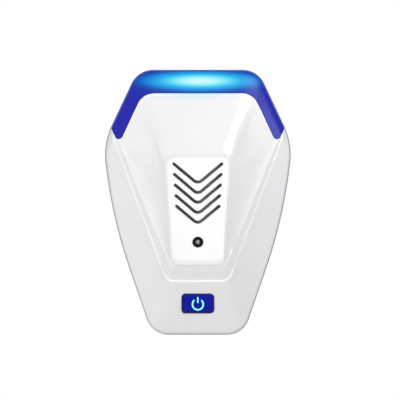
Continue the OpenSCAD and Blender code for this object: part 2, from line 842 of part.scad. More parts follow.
front_cover();
rear_cover();
light_bar();
power_button();
button_symbol();
sensor_bezel();
light_sensor();
sensor_legs();
sensor_spacer();
speaker_gasket();
speaker_mesh();
speaker_basket();
speaker_cone();
piezo_disc();
speaker_magnet();
speaker_terminals();
speaker_retainer();
retainer_screws();
main_board();
board_screws();
switch_body();
switch_plunger();
switch_cover();
switch_legs();
button_led();
light_board();
light_leds();
light_board_screws();
safety_capacitor();
bulk_capacitor();
output_capacitors();
rectifier();
transformer_core();
transformer_bobbin();
transformer_winding();
choke_core();
choke_winding();
fuse_resistor();
fuse_leads();
varistor();
controller_chip();
chip_legs();
transistors();
resistors();
disc_capacitors();
speaker_socket();
plug_insert();
plug_pins();
pin_sleeves();
insert_screws();
live_wire();
neutral_wire();
speaker_wires();
light_wires();
housing_screws();
rating_label();
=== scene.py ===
"""The looks of the plug-in ultrasonic pest repeller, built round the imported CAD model.

Lengths below are in millimetres in the face frame: x to the right, v up the front, h off the wall.
place() turns them into metres in the row frame, where +Y points into the wall.
"""

import json
import math

import bmesh
import bpy
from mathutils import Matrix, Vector

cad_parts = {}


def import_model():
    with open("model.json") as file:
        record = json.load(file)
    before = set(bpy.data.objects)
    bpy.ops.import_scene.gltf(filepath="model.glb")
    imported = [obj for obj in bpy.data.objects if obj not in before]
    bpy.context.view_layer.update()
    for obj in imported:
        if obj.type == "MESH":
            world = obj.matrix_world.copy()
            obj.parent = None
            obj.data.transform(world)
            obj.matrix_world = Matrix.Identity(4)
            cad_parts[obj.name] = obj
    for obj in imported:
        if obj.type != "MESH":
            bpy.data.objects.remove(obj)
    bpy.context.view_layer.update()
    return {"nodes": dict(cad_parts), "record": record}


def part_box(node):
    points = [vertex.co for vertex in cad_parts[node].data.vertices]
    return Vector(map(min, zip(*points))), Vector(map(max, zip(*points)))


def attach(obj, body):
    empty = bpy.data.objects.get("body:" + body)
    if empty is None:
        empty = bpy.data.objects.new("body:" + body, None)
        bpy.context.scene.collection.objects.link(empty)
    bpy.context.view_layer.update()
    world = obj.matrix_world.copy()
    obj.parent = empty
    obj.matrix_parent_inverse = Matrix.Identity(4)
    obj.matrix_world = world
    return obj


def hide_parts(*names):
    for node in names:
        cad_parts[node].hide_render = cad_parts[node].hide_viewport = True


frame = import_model()
MM = 0.001

# ---------------------------------------------------------------- contours of the front

# Corners from the bottom right upwards: half width, height, and how far the rounding reaches
EDGE = [(18.2, -58, 6.6), (34.2, -11.8, 21), (37.9, 18.5, 8), (24, 48, 6.1)]
OUTER = [(12.5, -36.6, 3.1), (23.4, -7.7, 12), (34.2, 21.1, 1.5), (22.8, 46.3, 5.2)]
INNER = [(10.8, -30.9, 2.8), (22.1, -4.4, 12), (31.7, 19.6, 1.2), (21.5, 37.9, 4.6)]
FACE = [(11, -29.9, 3.9), (11.9, -11, 3.4), (12.75, -0.5, 7), (13.7, 13.6, 4.8)]
BAND = [(22, 38.5, 4.7), (30.5, 20.3, 0.9), (32.4, 20.3, 0.7), (44, 44.9, 1), (44, 60, 1)]

# Tables by the place up the front: heights of the ridges, and what is added or taken off
OUTER_RIDGE = [(-36, 31), (20, 24.6), (46, 24.2)]
INNER_RIDGE = [(-30, 33.45), (-22, 31.2), (20, 25.2), (38.5, 26.2)]
INNER_RIDGE_FALL = [(-30, 0.22), (-25, 0.02)]
FACET_SAG = [(-28, 0.5), (-20, 0.64), (8, 0.6), (13.6, 0.45)]
FACET_SAG_AT = 0.45
SHOULDER_LIFT = [(-30, 0), (18, 0.7), (26, 1.2)]

# Depths come from the CAD nodes
PARTING_H = -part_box("light_bar")[1].y / MM
FACE_H = -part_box("front_cover")[0].y / MM
EDGE_H = 20.0
SKIN = 2.3
COVER_WALL = 2.0
FRONT_INSET = 0.35
SEAM = 0.15

# Rounding of the shoulder, and the narrow ledges along the two ridges
WALL_TOP_H, SHOULDER_BEND_H, SHOULDER_END_H = EDGE_H - 0.6, EDGE_H + 1.9, EDGE_H + 2.25
SHOULDER_BEND_IN, SHOULDER_END_IN = 0.05, 1.0
OUTER_LEDGE, INNER_LEDGE = 0.8, 0.5
LEDGE_EDGE = 0.12

# Rounding of the flat face: heights of its foot and bend, and how far in its bend and end lie
FACE_FOOT_H = [(-29.5, FACE_H - 0.15), (-27.5, FACE_H - 0.6)]
FACE_BEND_H = [(-29.5, FACE_H - 0.06), (-28, FACE_H - 0.02)]
FACE_BEND_IN = [(-29.5, 1.1), (-28, 0.5)]
FACE_END_IN = [(-29.5, 2.6), (-28, 1.2)]

# How far in and how deep the inside follows each contour
HOLLOW_WALL_H, HOLLOW_EDGE_H = EDGE_H - 1, EDGE_H + 0.6
HOLLOW_EDGE_IN, HOLLOW_OUTER_IN, HOLLOW_INNER_IN, HOLLOW_FACE_IN = COVER_WALL + 1, 2.4, 1.5, 1.8


def lookup(x, table):
    """Straight-line value from a table of pairs, held at its ends."""
    if x <= table[0][0]:
        return table[0][1]
    for (x0, y0), (x1, y1) in zip(table, table[1:]):
        if x <= x1:
            return y0 + (y1 - y0) * (x - x0) / (x1 - x0)
    return table[-1][1]


def unit(p):
    n = math.hypot(*p)
    return (p[0] / n, p[1] / n)


def toward(p, q):
    return unit((q[0] - p[0], q[1] - p[1]))


def rounding(before, corner, after, reach, steps):
    """Exact arc that starts and ends at reach from a corner."""
    a, b = toward(corner, before), toward(corner, after)
    start = (corner[0] + reach * a[0], corner[1] + reach * a[1])
    end = (corner[0] + reach * b[0], corner[1] + reach * b[1])
    weight = math.sqrt(max(0.0, (1 - a[0] * b[0] - a[1] * b[1]) / 2))
    points = []
    for i in range(steps + 1):
        s = i / steps
        wa, wb, wc = (1 - s) ** 2, 2 * s * (1 - s) * weight, s * s
        total = wa + wb + wc
        points.append(tuple((wa * start[k] + wb * corner[k] + wc * end[k]) / total for k in (0, 1)))
    return points


def outline(corners, steps=12, between=9):
    """Closed mirrored outline; between is how many points split each straight."""
    ring = list(corners) + [(-x, v, r) for x, v, r in reversed(corners)]
    n = len(ring)
    arcs = [rounding(ring[i - 1], ring[i], ring[(i + 1) % n], ring[i][2], steps) for i in range(n)]
    points = []
    for i, arc in enumerate(arcs):
        points += arc
        a, b = arc[-1], arcs[(i + 1) % n][0]
        points += [
            (a[0] + (b[0] - a[0]) * k / (between + 1), a[1] + (b[1] - a[1]) * k / (between + 1))
            for k in range(1, between + 1)
        ]
    return points


def inset(ring, d):
    """The ring moved inwards by d, which may be a table by the place up the front."""
    n = len(ring)
    moved = []
    for i, p in enumerate(ring):
        along = toward(ring[i - 1], ring[(i + 1) % n])
        by = lookup(p[1], d) if isinstance(d, list) else d
        moved.append((p[0] - by * along[1], p[1] + by * along[0]))
    return moved


def level(ring, h):
    return [(x, v, h) for x, v in ring]


def ridge(ring, table, add=0.0, fall=((0, 0),)):
    """The ring at heights looked up by its place up the front, plus add and less the fall."""
    return [(x, v, lookup(v, table) + add - lookup(v, fall)) for x, v in ring]


def mixed(a, b, t):
    """The ring a share t of the way from a to b."""
    return [tuple(p[k] + t * (q[k] - p[k]) for k in range(3)) for p, q in zip(a, b)]


def spaced(a, b, count):
    """count rings evenly spaced between two rings, without either end."""
    return [mixed(a, b, k / (count + 1)) for k in range(1, count + 1)]


def bezier(a, b, c, steps):
    """Rings along a curve from a to c that leaves and arrives towards b."""
    rings = []
    for i in range(steps + 1):
        s = i / steps
        rings.append([
            tuple((1 - s) ** 2 * p[k] + 2 * s * (1 - s) * q[k] + s * s * r[k] for k in range(3))
            for p, q, r in zip(a, b, c)
        ])
    return rings


def sagging(face, inner, t):
    """Ring a share t of the way out over the sunk facets, which are steepest beside the face.

    FACET_SAG tells how much of the fall is behind it at FACET_SAG_AT of the way.
    """
    ring = []
    for p, q in zip(face, inner):
        pull = (lookup(p[1], FACET_SAG) - FACET_SAG_AT) / (FACET_SAG_AT * (1 - FACET_SAG_AT))
        s = t + pull * t * (1 - t)
        ring.append((p[0] + t * (q[0] - p[0]), p[1] + t * (q[1] - p[1]), p[2] + s * (q[2] - p[2])))
    return ring


def crisp(before, low, high, after):
    """A narrow ledge whose edges keep their own shading, between the facets on both sides."""
    return [before, low, mixed(low, high, LEDGE_EDGE), mixed(low, high, 1 - LEDGE_EDGE), high, after]


edge = outline(EDGE)
front_edge = inset(edge, FRONT_INSET)


def skin_rings(ledges=True):
    """Rings of the front's outside, from the parting line up to the flat face.

    Without the narrow ledges the outer ridge is rounded and the inner one is a plain bend.
    """
    outer, inner, face = outline(OUTER), outline(INNER), outline(FACE)
    wall_foot = level(front_edge, PARTING_H)
    wall_top = level(front_edge, WALL_TOP_H)
    bend = ridge(inset(front_edge, SHOULDER_BEND_IN), SHOULDER_LIFT, SHOULDER_BEND_H)
    facet_foot = ridge(inset(front_edge, SHOULDER_END_IN), SHOULDER_LIFT, SHOULDER_END_H)
    outer_out = ridge(outer, OUTER_RIDGE)
    outer_in = ridge(inset(outer, OUTER_LEDGE), OUTER_RIDGE)
    inner_out = ridge(inner, INNER_RIDGE, fall=INNER_RIDGE_FALL)
    inner_in = ridge(inset(inner, INNER_LEDGE), INNER_RIDGE)
    face_foot = ridge(face, FACE_FOOT_H)
    rings = [wall_foot] + spaced(wall_foot, wall_top, 3)
    rings += bezier(wall_top, bend, facet_foot, 6)
    if ledges:
        rings += spaced(facet_foot, outer_out, 7)
        before_outer, after_outer = mixed(outer_out, facet_foot, 0.012), mixed(outer_in, inner_out, 0.03)
        rings += crisp(before_outer, outer_out, outer_in, after_outer)
        rings += spaced(outer_in, inner_out, 3)
        before_inner, after_inner = mixed(inner_out, outer_in, 0.03), sagging(face_foot, inner_in, 0.992)
        rings += crisp(before_inner, inner_out, inner_in, after_inner)
    else:
        crown = mixed(outer_out, outer_in, 0.5)
        crown_foot, crown_end = mixed(crown, facet_foot, 0.55), mixed(crown, inner_out, 0.5)
        rings += spaced(facet_foot, crown_foot, 3) + bezier(crown_foot, crown, crown_end, 8)
        rings += spaced(crown_end, inner_in, 2) + [inner_in]
    rings += [sagging(face_foot, inner_in, 1 - k / 10) for k in range(1, 10)]
    face_bend = ridge(inset(face, FACE_BEND_IN), FACE_BEND_H)
    face_top = level(inset(face, FACE_END_IN), FACE_H)
    rings += bezier(face_foot, face_bend, face_top, 6)
    return rings


def hollow_rings():
    """Rings of the front's inside."""
    outer, inner, face = outline(OUTER), outline(INNER), outline(FACE)
    foot = level(inset(front_edge, COVER_WALL), PARTING_H)
    wall = level(inset(front_edge, COVER_WALL), HOLLOW_WALL_H)
    shoulder = level(inset(front_edge, HOLLOW_EDGE_IN), HOLLOW_EDGE_H)
    under_outer = ridge(inset(outer, HOLLOW_OUTER_IN), OUTER_RIDGE, -SKIN)
    under_inner = ridge(inset(inner, HOLLOW_INNER_IN), INNER_RIDGE, -SKIN)
    under_face = level(inset(face, HOLLOW_FACE_IN), FACE_H - SKIN)
    rings = [foot, wall, shoulder] + spaced(shoulder, under_outer, 2)
    rings += [under_outer, under_inner] + spaced(under_inner, under_face, 2)
    return rings + [under_face]


# ---------------------------------------------------------------- mesh helpers


def place(p):
    """Face frame in millimetres to row frame in metres."""
    return Vector((p[0] * MM, -p[2] * MM, p[1] * MM))


def new_object(name, mesh):
    o = bpy.data.objects.new(name, mesh)
    bpy.context.scene.collection.objects.link(o)
    return o


def mesh_object(name, bm):
    bmesh.ops.recalc_face_normals(bm, faces=bm.faces)
    mesh = bpy.data.meshes.new(name)
    bm.to_mesh(mesh)
    bm.free()
    return new_object(name, mesh)


def add_rings(bm, rings):
    return [[bm.verts.new(place(p)) for p in ring] for ring in rings]


def bridge(bm, loops):
    """Quads between each loop and the next."""
    for a, b in zip(loops, loops[1:]):
        n = len(a)
        for i in range(n):
            j = (i + 1) % n
            bm.faces.new((a[i], a[j], b[j], b[i]))


def solid_of_rings(name, rings):
    """Closed solid through a stack of rings, with a flat cap at each end."""
    bm = bmesh.new()
    loops = add_rings(bm, rings)
    bridge(bm, loops)
    bm.faces.new(loops[0])
    bm.faces.new(loops[-1])
    return mesh_object(name, bm)


def shell_of_rings(name, outside, inside):
    """Open-backed shell: two stacks of rings joined along their first rings."""
    bm = bmesh.new()
    out, back = add_rings(bm, outside), add_rings(bm, inside)
    bridge(bm, out)
    bridge(bm, back)
    bridge(bm, [out[0], back[0]])
    bm.faces.new(out[-1])
    bm.faces.new(back[-1])
    return mesh_object(name, bm)


def prism(name, points, low, high):
    return solid_of_rings(name, [level(points, low), level(points, high)])


def circle(x, v, r, count=48):
    return [
        (x + r * math.cos(2 * math.pi * k / count), v + r * math.sin(2 * math.pi * k / count))
        for k in range(count)
    ]


def lathe(name, x, v, profile, count=64):
    """Solid of revolution about a line off the wall: profile is a list of (radius, h)."""
    return solid_of_rings(name, [level(circle(x, v, r, count), h) for r, h in profile])


def ring_lathe(name, x, v, profile, count=64):
    """Ring of revolution: a closed profile of (radius, h) that stays clear of the axis."""
    bm = bmesh.new()
    loops = add_rings(bm, [level(circle(x, v, r, count), h) for r, h in profile])
    bridge(bm, loops + [loops[0]])
    return mesh_object(name, bm)


def rounded_box(w, d, r, x=0.0, v=0.0, steps=8):
    """Outline of a rounded rectangle."""
    points = []
    for cx, cv, a in ((1, 1, 0), (-1, 1, 90), (-1, -1, 180), (1, -1, 270)):
        for k in range(steps + 1):
            t = math.radians(a + 90 * k / steps)
            across = cx * (w / 2 - r)
            up = cv * (d / 2 - r)
            points.append((x + across + r * math.cos(t), v + up + r * math.sin(t)))
    return points


def combine(target, tools, operation):
    """Boolean of a target with tools, applied at once; the tools are removed."""
    for tool in tools:
        m = target.modifiers.new("cut", "BOOLEAN")
        m.operation, m.object, m.solver = operation, tool, "EXACT"
        apply_all(target)
        bpy.data.objects.remove(tool, do_unlink=True)
    return target


def apply_all(o):
    """Make the modifiers' result the object's own mesh."""
    dg = bpy.context.evaluated_depsgraph_get()
    result = bpy.data.meshes.new_from_object(o.evaluated_get(dg))
    o.modifiers.clear()
    old = o.data
    o.data = result
    bpy.data.meshes.remove(old)


def clean(o, distance=0.004):
    """Merge the points that a boolean leaves on top of each other."""
    bm = bmesh.new()
    bm.from_mesh(o.data)
    bmesh.ops.remove_doubles(bm, verts=bm.verts, dist=distance * MM)
    bmesh.ops.dissolve_degenerate(bm, edges=bm.edges, dist=distance * MM)
    bm.to_mesh(o.data)
    bm.free()


def soften(o, width, segments=3, angle=40.0):
    """Small rounding on every sharp edge."""
    m = o.modifiers.new("round", "BEVEL")
    m.width, m.segments, m.limit_method = width * MM, segments, "ANGLE"
    m.angle_limit = math.radians(angle)
    return o


def smooth(o, angle=32.0):
    """Smooth shading, with edges sharper than the angle kept crisp."""
    for p in o.data.polygons:
        p.use_smooth = True
    bpy.context.view_layer.objects.active = o
    for other in bpy.context.selected_objects:
        other.select_set(False)
    o.select_set(True)
    bpy.ops.object.shade_smooth_by_angle(angle=math.radians(angle))
    o.select_set(False)
    return o


def piece(o, body, material, slot, *stands_for):
    """Finish a piece: its material, its body and the CAD nodes it stands for. The slot argument is not
    used.
    """
    o.data.materials.clear()
    o.data.materials.append(material)
    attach(o, body)
    if stands_for:
        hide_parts(*stands_for)
    return o


# ---------------------------------------------------------------- camera, light and floor


def camera():
    """Straight on, with a long lens that takes in 160 mm at the parting line."""
    distance, view_mm, sensor = 2600.0, 160.0, 36.0
    data = bpy.data.cameras.new("camera")
    data.sensor_width = sensor
    data.lens = sensor * distance / view_mm
    data.clip_start, data.clip_end = 0.05, 20
    cam = bpy.data.objects.new("camera", data)
    bpy.context.scene.collection.objects.link(cam)
    aim_x, aim_v = 0.86, -4.1
    cam.location = place((aim_x, aim_v, distance + PARTING_H))
    cam.rotation_euler = (math.radians(90), 0, 0)
    bpy.context.scene.camera = cam


def area_light(name, where, aim, size, power, size_y=None, gloss=True, diffuse=True):
    """Softbox aimed at the object; it can light only the gloss, or only what lies under it."""
    data = bpy.data.lights.new(name, "AREA")
    data.energy = power
    data.size = size * MM
    if size_y:
        data.shape, data.size_y = "RECTANGLE", size_y * MM
    o = bpy.data.objects.new(name, data)
    bpy.context.scene.collection.objects.link(o)
    o.location = place(where)
    o.rotation_euler = (place(aim) - o.location).to_track_quat("-Z", "Y").to_euler()
    o.visible_glossy, o.visible_diffuse = gloss, diffuse


def world(background, ambient):
    """White behind the object, and a softer white for what falls on it."""
    w = bpy.data.worlds.new("studio")
    bpy.context.scene.world = w
    w.use_nodes = True
    tree = w.node_tree
    tree.nodes.clear()
    out = tree.nodes.new("ShaderNodeOutputWorld")
    mix = tree.nodes.new("ShaderNodeMixShader")
    seen = tree.nodes.new("ShaderNodeBackground")
    lit = tree.nodes.new("ShaderNodeBackground")
    rays = tree.nodes.new("ShaderNodeLightPath")
    seen.inputs["Color"].default_value = (1, 1, 1, 1)
    seen.inputs["Strength"].default_value = background
    lit.inputs["Color"].default_value = (1, 1, 1, 1)
    lit.inputs["Strength"].default_value = ambient
    tree.links.new(rays.outputs["Is Camera Ray"], mix.inputs["Fac"])
    tree.links.new(lit.outputs[0], mix.inputs[1])
    tree.links.new(seen.outputs[0], mix.inputs[2])
    tree.links.new(mix.outputs[0], out.inputs[0])


# ---------------------------------------------------------------- materials

BLACK, WHITE = (0.0, 0.0, 0.0), (1.0, 1.0, 1.0)


class Graph:
    """A material's node tree with short calls for the nodes used here."""

    def __init__(self, name):
        self.mat = bpy.data.materials.new(name)
        self.mat.use_nodes = True
        self.tree = self.mat.node_tree
        self.shader = next(n for n in self.tree.nodes if n.type == "BSDF_PRINCIPLED")
        coordinates = self.node("ShaderNodeTexCoord").outputs
        self.where, self.normal = coordinates["Object"], coordinates["Normal"]

    def node(self, kind, **settings):
        n = self.tree.nodes.new(kind)
        for key, value in settings.items():
            setattr(n, key, value)
        return n

    def put(self, socket, value):
        """Link a socket to another node's output, or set it to a plain value."""
        if hasattr(value, "is_output"):
            self.tree.links.new(value, socket)
        else:
            socket.default_value = value

    def math(self, operation, a, b=0.0, clamp=False):
        n = self.node("ShaderNodeMath", operation=operation, use_clamp=clamp)
        self.put(n.inputs[0], a)
        self.put(n.inputs[1], b)
        return n.outputs[0]

    def axes(self):
        n = self.node("ShaderNodeSeparateXYZ")
        self.put(n.inputs[0], self.where)
        return n.outputs

    def facing_out(self):
        """1 where the surface faces straight off the wall, 0 where it is square to the wall."""
        n = self.node("ShaderNodeSeparateXYZ")
        self.put(n.inputs[0], self.normal)
        return self.math("MULTIPLY", n.outputs[1], -1.0, clamp=True)

    def noise(self, size_mm, detail=3.0, rough=0.5, where=None):
        n = self.node("ShaderNodeTexNoise")
        self.put(n.inputs["Vector"], where or self.where)
        n.inputs["Scale"].default_value = 1 / (size_mm * MM)
        n.inputs["Detail"].default_value = detail
        n.inputs["Roughness"].default_value = rough
        return n.outputs["Fac"]

    def ramp(self, factor, stops):
        n = self.node("ShaderNodeValToRGB")
        self.put(n.inputs[0], factor)
        ends = n.color_ramp.elements
        while len(ends) < len(stops):
            ends.new(0.5)
        for e, (at, c) in zip(ends, stops):
            e.position = at
            e.color = (*c, 1)
        return n.outputs["Color"]

    def between(self, factor, low, high):
        n = self.node("ShaderNodeMapRange")
        self.put(n.inputs[0], factor)
        n.inputs["To Min"].default_value = low
        n.inputs["To Max"].default_value = high
        return n.outputs[0]

    def mix(self, factor, a, b, blend="MIX"):
        n = self.node("ShaderNodeMix", data_type="RGBA", blend_type=blend)
        self.put(n.inputs[0], factor)
        self.put(n.inputs[6], a if hasattr(a, "is_output") else (*a, 1))
        self.put(n.inputs[7], b if hasattr(b, "is_output") else (*b, 1))
        return n.outputs[2]

    def bump(self, height, strength, distance_mm):
        n = self.node("ShaderNodeBump")
        self.put(n.inputs["Height"], height)
        n.inputs["Strength"].default_value = strength
        n.inputs["Distance"].default_value = distance_mm * MM
        self.put(self.shader.inputs["Normal"], n.outputs[0])

    def set(self, **values):
        """Fill in the shader's sockets, with _ for each space in a socket's name."""
        for key, value in values.items():
            self.put(self.shader.inputs[key.replace("_", " ")], value)
        return self.mat


def linear(r, g, b):
    """Linear colour from 0 to 255 display values."""
    return tuple((c / 255 / 12.92) if c <= 10 else ((c / 255 + 0.055) / 1.055) ** 2.4 for c in (r, g, b))


# What the bar's own surface reflects under the studio lights
BAR_REFLECTS = (0.0174, 0.0185, 0.186)


def lit_only(r, g, b):
    """Emission that brings the bar to a display colour, on top of what its surface reflects."""
    return tuple(max(0.0, c - d) for c, d in zip(linear(r, g, b), BAR_REFLECTS))


def shade(colour, k):
    return tuple(min(1.0, c * k) for c in colour)


def moulded(name, colour, rough=0.35, grain=0.25, grain_mm=0.35, vary=0.05, coat=0.0, specular=0.5):
    """Moulded plastic: a faint drift of colour, a fine spark-eroded grain and uneven gloss."""
    g = Graph(name)
    drift = g.noise(9.0, 2.0)
    fine = g.noise(grain_mm, 4.0, 0.6)
    g.bump(fine, grain, 0.02)
    return g.set(
        Base_Color=g.ramp(drift, [(0.3, shade(colour, 1 - vary)), (0.7, shade(colour, 1 + vary))]),
        Roughness=g.between(g.noise(2.2, 3.0), rough - 0.05, rough + 0.05),
        Specular_IOR_Level=specular,
        Coat_Weight=coat,
        Coat_Roughness=0.12,
    )


def soft_band(g, value, width_mm):
    """1 where the value is 0, fading over the width."""
    part = g.math("DIVIDE", value, width_mm * MM)
    return g.math("EXPONENT", g.math("MULTIPLY", g.math("MULTIPLY", part, part), -1.0))


GLOW_X, GLOW_V, GLOW_WIDE, GLOW_HIGH = 1.0, 43.3, 18.0, 3.15


def glow_field(g):
    """1 at the middle of the light bar, falling off sideways and up and down."""
    x, _, z = g.axes()
    dv = g.math("DIVIDE", g.math("SUBTRACT", z, GLOW_V * MM), GLOW_HIGH * MM)
    dx = g.math("DIVIDE", g.math("SUBTRACT", x, GLOW_X * MM), GLOW_WIDE * MM)
    far = g.math("ADD", g.math("MULTIPLY", dv, dv), g.math("MULTIPLY", dx, dx))
    return g.math("EXPONENT", g.math("MULTIPLY", far, -1.0))


SHELL_WHITE = (0.83, 0.83, 0.84)
# Painted light: colour of the bar's blue light painted on the shell, and how wide, how far down and how
# fast it fades
PAINTED_SPILL_TINT = (0.42, 0.74, 0.86)
SPILL_WIDE, SPILL_REACH, SPILL_FADE = 17.0, 4.2, 2.2


def shell_material():
    """Glossy white moulding, with the bar's blue light painted into its colour just below the bar."""
    g = Graph("white_shell")
    x, _, z = g.axes()
    # Painted light: a pool of the bar's blue light painted into the shell's colour just below the bar
    below = g.math("DIVIDE", g.math("SUBTRACT", BAND[0][1] * MM, z), SPILL_REACH * MM, clamp=True)
    side = soft_band(g, x, SPILL_WIDE)
    painted_spill_mask = g.math("MULTIPLY", g.math("POWER", g.math("SUBTRACT", 1.0, below), SPILL_FADE), side)
    darker, lighter = shade(SHELL_WHITE, 0.985), shade(SHELL_WHITE, 1.012)
    drift = g.ramp(g.noise(14.0, 2.0), [(0.3, darker), (0.7, lighter)])
    colour_with_painted_spill = g.mix(painted_spill_mask, drift, PAINTED_SPILL_TINT)
    g.bump(g.noise(0.4, 4.0, 0.6), 0.06, 0.01)
    return g.set(
        Base_Color=colour_with_painted_spill,
        Roughness=g.between(g.noise(3.0, 3.0), 0.3, 0.36),
        Specular_IOR_Level=0.25,
        Coat_Weight=1.0,
        Coat_Roughness=0.09,
    )


# Painted reflection: paler blue added to the glow on the right-hand end of the bar's front facet
SHEEN_FROM, SHEEN_OVER, PAINTED_SHEEN_ADD = 17, 11, (0.05, 0.058, 0.065)


def light_bar_material():
    """Translucent blue bar lit from behind its middle; painted shade takes its glow down to a deep blue
    where the surface turns from the front, and a painted reflection pales its right-hand end.
    """
    g = Graph("blue_diffuser")
    lit = g.ramp(glow_field(g), [
        (0.0, lit_only(50, 52, 172)), (0.07, lit_only(40, 66, 176)), (0.14, lit_only(30, 92, 184)),
        (0.27, lit_only(32, 142, 222)), (0.454, lit_only(47, 181, 236)), (0.64, lit_only(92, 217, 246)),
        (0.82, lit_only(155, 240, 253)), (1.0, lit_only(207, 250, 254)),
    ])
    x = g.axes()[0]
    # Painted reflection: the paler blue is added only where the right-hand end faces the front
    beside = g.math("DIVIDE", g.math("SUBTRACT", x, SHEEN_FROM * MM), SHEEN_OVER * MM, clamp=True)
    out = g.facing_out()
    front_facet = g.ramp(out, [(0.84, BLACK), (0.96, WHITE)])
    glow = g.mix(g.math("MULTIPLY", beside, front_facet), lit, PAINTED_SHEEN_ADD, "ADD")
    # Painted shade: a dark rim where the bar's surface turns away from the front
    painted_edge_shade_mask = g.ramp(out, [(0.3, BLACK), (0.72, WHITE)])
    cloud = g.noise(1.4, 4.0, 0.6)
    g.bump(g.noise(0.5, 3.0), 0.08, 0.02)
    body = g.ramp(cloud, [(0.3, (0.006, 0.007, 0.15)), (0.7, (0.009, 0.010, 0.18))])
    return g.set(
        Base_Color=g.mix(painted_edge_shade_mask, (0.01, 0.016, 0.18), body),
        Roughness=g.between(cloud, 0.3, 0.38),
        Specular_IOR_Level=0.18,
        Emission_Color=g.mix(painted_edge_shade_mask, (0.012, 0.03, 0.28), glow),
        Emission_Strength=1.0,
    )


BUTTON_V = -45.3
MARK_V = BUTTON_V - 0.3
MARK_R, MARK_STROKE, MARK_GAP = 2.15, 0.6, 1.3
MARK_BAR = (0.5, 2.95)
RING_HALO, BAR_HALO, BAR_HALO_HIGH = 0.45, 0.5, 1.3
HALO_GAP, HALO_GAP_FADE = 0.9, 0.6


def button_material():
    """Deep blue gloss with a painted glow of the power mark's light round its strokes, and painted shade
    darkening its edges where the surface turns from the front.
    """
    g = Graph("blue_button")
    x, _, z = g.axes()
    dv = g.math("SUBTRACT", z, MARK_V * MM)
    r = g.math("SQRT", g.math("ADD", g.math("MULTIPLY", dv, dv), g.math("MULTIPLY", x, x)))
    ring = soft_band(g, g.math("SUBTRACT", r, MARK_R * MM), RING_HALO)
    aside = g.math("SUBTRACT", g.math("ABSOLUTE", x), HALO_GAP * MM)
    beside_gap = g.math("DIVIDE", aside, HALO_GAP_FADE * MM, clamp=True)
    below_gap = g.math("DIVIDE", dv, -1 * MM, clamp=True)
    ring = g.math("MULTIPLY", ring, g.math("MAXIMUM", beside_gap, below_gap))
    bar_middle = (MARK_BAR[0] + MARK_BAR[1]) / 2 * MM
    along_bar = soft_band(g, g.math("SUBTRACT", dv, bar_middle), BAR_HALO_HIGH)
    bar = g.math("MULTIPLY", soft_band(g, x, BAR_HALO), along_bar)
    # Painted glow: the mark's light painted as emission on the button round its strokes
    halo = g.ramp(g.math("MAXIMUM", ring, bar), [(0.2, (0.002, 0.002, 0.07)), (0.9, (0.01, 0.34, 0.62))])
    # Painted shade: near-black edges where the button's surface turns away from the front
    painted_edge_shade_mask = g.ramp(g.facing_out(), [(0.5, BLACK), (0.86, WHITE)])
    cloud = g.noise(1.2, 3.0)
    g.bump(g.noise(0.5, 3.0), 0.05, 0.02)
    body = g.ramp(cloud, [(0.3, (0.003, 0.006, 0.26)), (0.7, (0.005, 0.008, 0.31))])
    return g.set(
        Base_Color=g.mix(painted_edge_shade_mask, (0.003, 0.004, 0.05), body),
        Roughness=g.between(cloud, 0.2, 0.28),
        Specular_IOR_Level=0.1,
        Emission_Color=g.mix(painted_edge_shade_mask, (0.0, 0.0, 0.03), halo),
        Emission_Strength=0.8,
    )


def mark_material():
    """Pale cyan insert that glows."""
    g = Graph("lit_symbol")
    cloud = g.noise(0.8, 2.0)
    return g.set(
        Base_Color=g.ramp(cloud, [(0.3, (0.25, 0.8, 0.9)), (0.7, (0.32, 0.9, 0.95))]),
        Roughness=0.3,
        Emission_Color=g.ramp(cloud, [(0.3, (0.28, 0.88, 0.95)), (0.7, (0.36, 1.0, 1.0))]),
        Emission_Strength=0.7,
    )


def metal(name, colour, rough=0.3, stretch=(1, 1, 12), size_mm=1.5):
    """Drawn or plated metal with faint streaks."""
    g = Graph(name)
    turn = g.node("ShaderNodeMapping")
    g.put(turn.inputs[0], g.where)
    turn.inputs["Scale"].default_value = stretch
    streak = g.noise(size_mm, 4.0, 0.6, turn.outputs[0])
    g.bump(streak, 0.12, 0.02)
    return g.set(
        Base_Color=g.ramp(streak, [(0.3, shade(colour, 0.9)), (0.7, shade(colour, 1.06))]),
        Metallic=1.0,
        Roughness=g.between(streak, rough - 0.07, rough + 0.1),
    )


def cloth(name, colour, pitch_mm=0.42):
    """Fine woven cloth: two crossed sets of threads."""
    g = Graph(name)
    x, _, z = g.axes()
    turn = 2 * math.pi / (pitch_mm * MM)
    warp = g.math("SINE", g.math("MULTIPLY", x, turn))
    weft = g.math("SINE", g.math("MULTIPLY", z, turn))
    weave = g.between(g.math("MULTIPLY", warp, weft), 0.0, 1.0)
    g.bump(weave, 0.4, 0.06)
    return g.set(
        Base_Color=g.ramp(weave, [(0.2, shade(colour, 0.72)), (0.9, shade(colour, 1.2))]),
        Roughness=0.85,
        Sheen_Weight=0.2,
    )


def lens_material():
    """Smoked sensor lens with a mottled look."""
    g = Graph("grey_lens")
    spots = g.noise(0.55, 3.0, 0.6)
    g.bump(spots, 0.15, 0.03)
    return g.set(
        Base_Color=g.ramp(spots, [(0.35, (0.13, 0.14, 0.14)), (0.65, (0.36, 0.37, 0.36))]),
        Roughness=0.15,
        Coat_Weight=0.5,
        Coat_Roughness=0.05,
    )


def board_material(name, colour):
    """Solder mask over copper tracks that just show through."""
    g = Graph(name)
    cells = g.node("ShaderNodeTexVoronoi", distance="CHEBYCHEV", feature="F1")
    g.put(cells.inputs["Vector"], g.where)
    cells.inputs["Scale"].default_value = 1 / (3.4 * MM)
    g.bump(cells.outputs["Distance"], 0.1, 0.05)
    return g.set(
        Base_Color=g.ramp(cells.outputs["Distance"], [(0.25, shade(colour, 1.35)), (0.4, colour)]),
        Roughness=0.3,
        Coat_Weight=0.3,
    )


# ---------------------------------------------------------------- visible pieces

